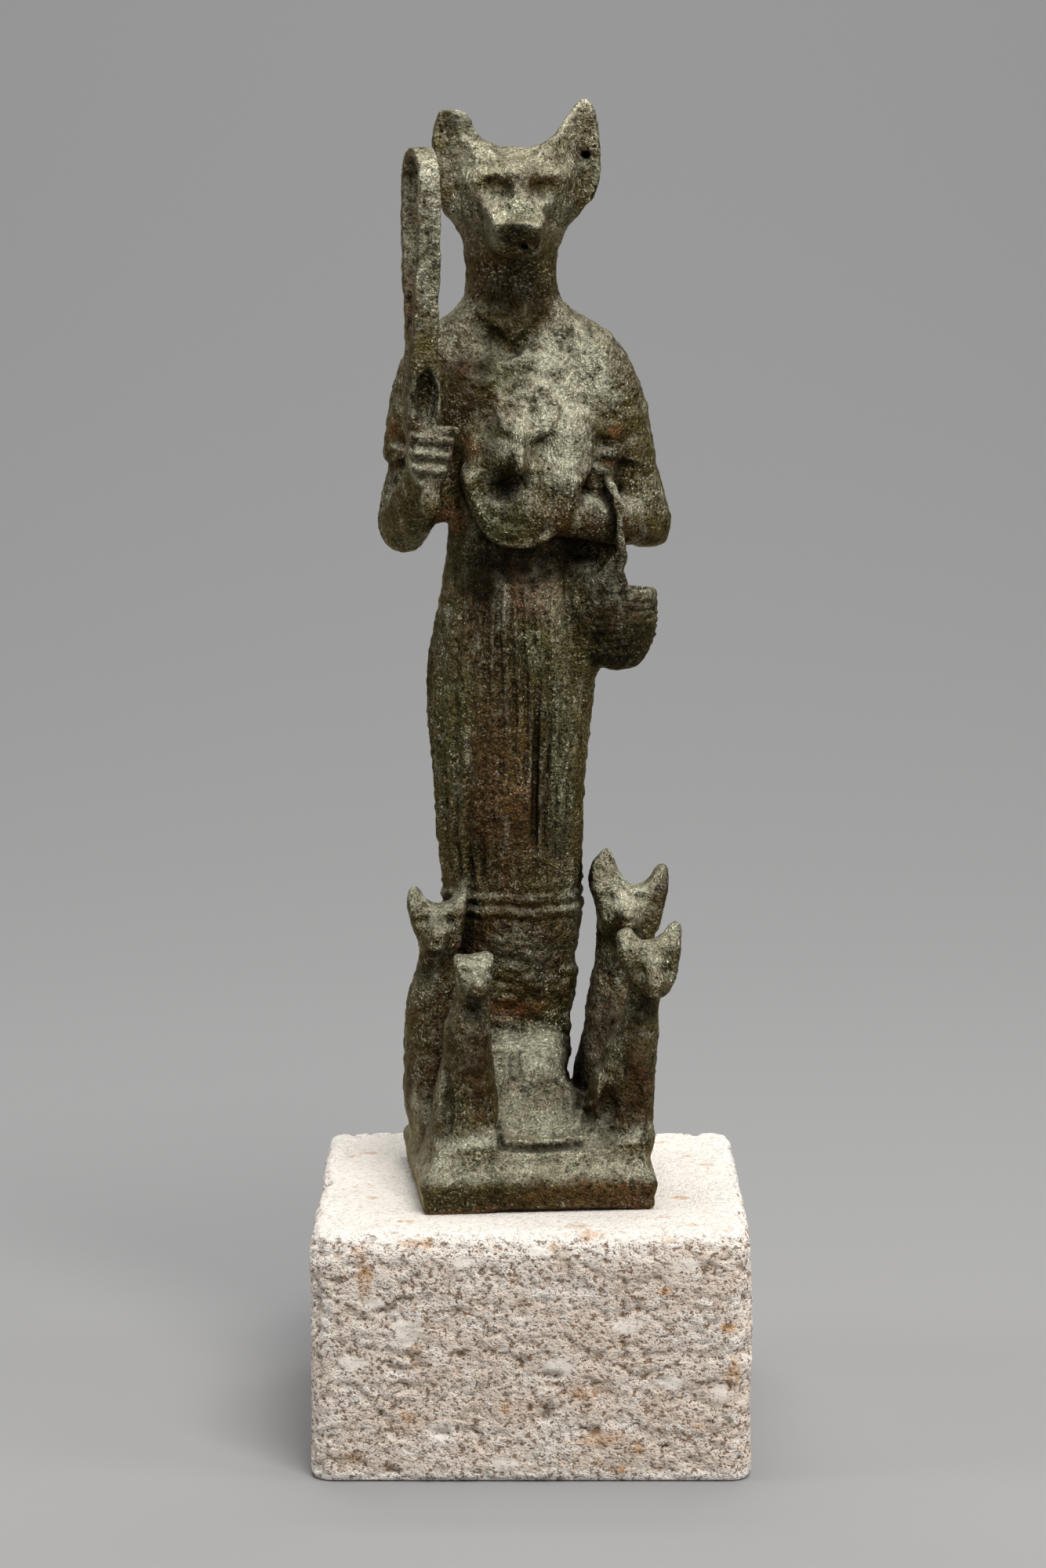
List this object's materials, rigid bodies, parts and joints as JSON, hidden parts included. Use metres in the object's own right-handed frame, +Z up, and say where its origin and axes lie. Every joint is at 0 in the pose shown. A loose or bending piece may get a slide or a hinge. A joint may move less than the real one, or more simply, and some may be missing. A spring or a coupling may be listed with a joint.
{
  "type": "bastet cat figure",
  "caption": "Standing cat-headed goddess in a pleated dress with rattle, aegis, basket and kittens, cast in patinated bronze and set on a tumbled travertine block.",
  "frame": {"origin": "middle of the travertine block's underside, on the surface that the object stands on", "axes": "+Z up, the goddess and the block's front look along -Y, +X to the right of someone who looks at the front"},
  "size_m": [0.052, 0.052, 0.1624],
  "materials": {
    "bronze": "dark olive to brown patina, grainy cast surface, worn paler on the high places",
    "travertine": "tumbled and matt, cream to beige with small pits"
  },
  "bodies": {
    "root": {"bronze_casting": "bronze", "travertine_block": "travertine"}
  },
  "joints": []
}
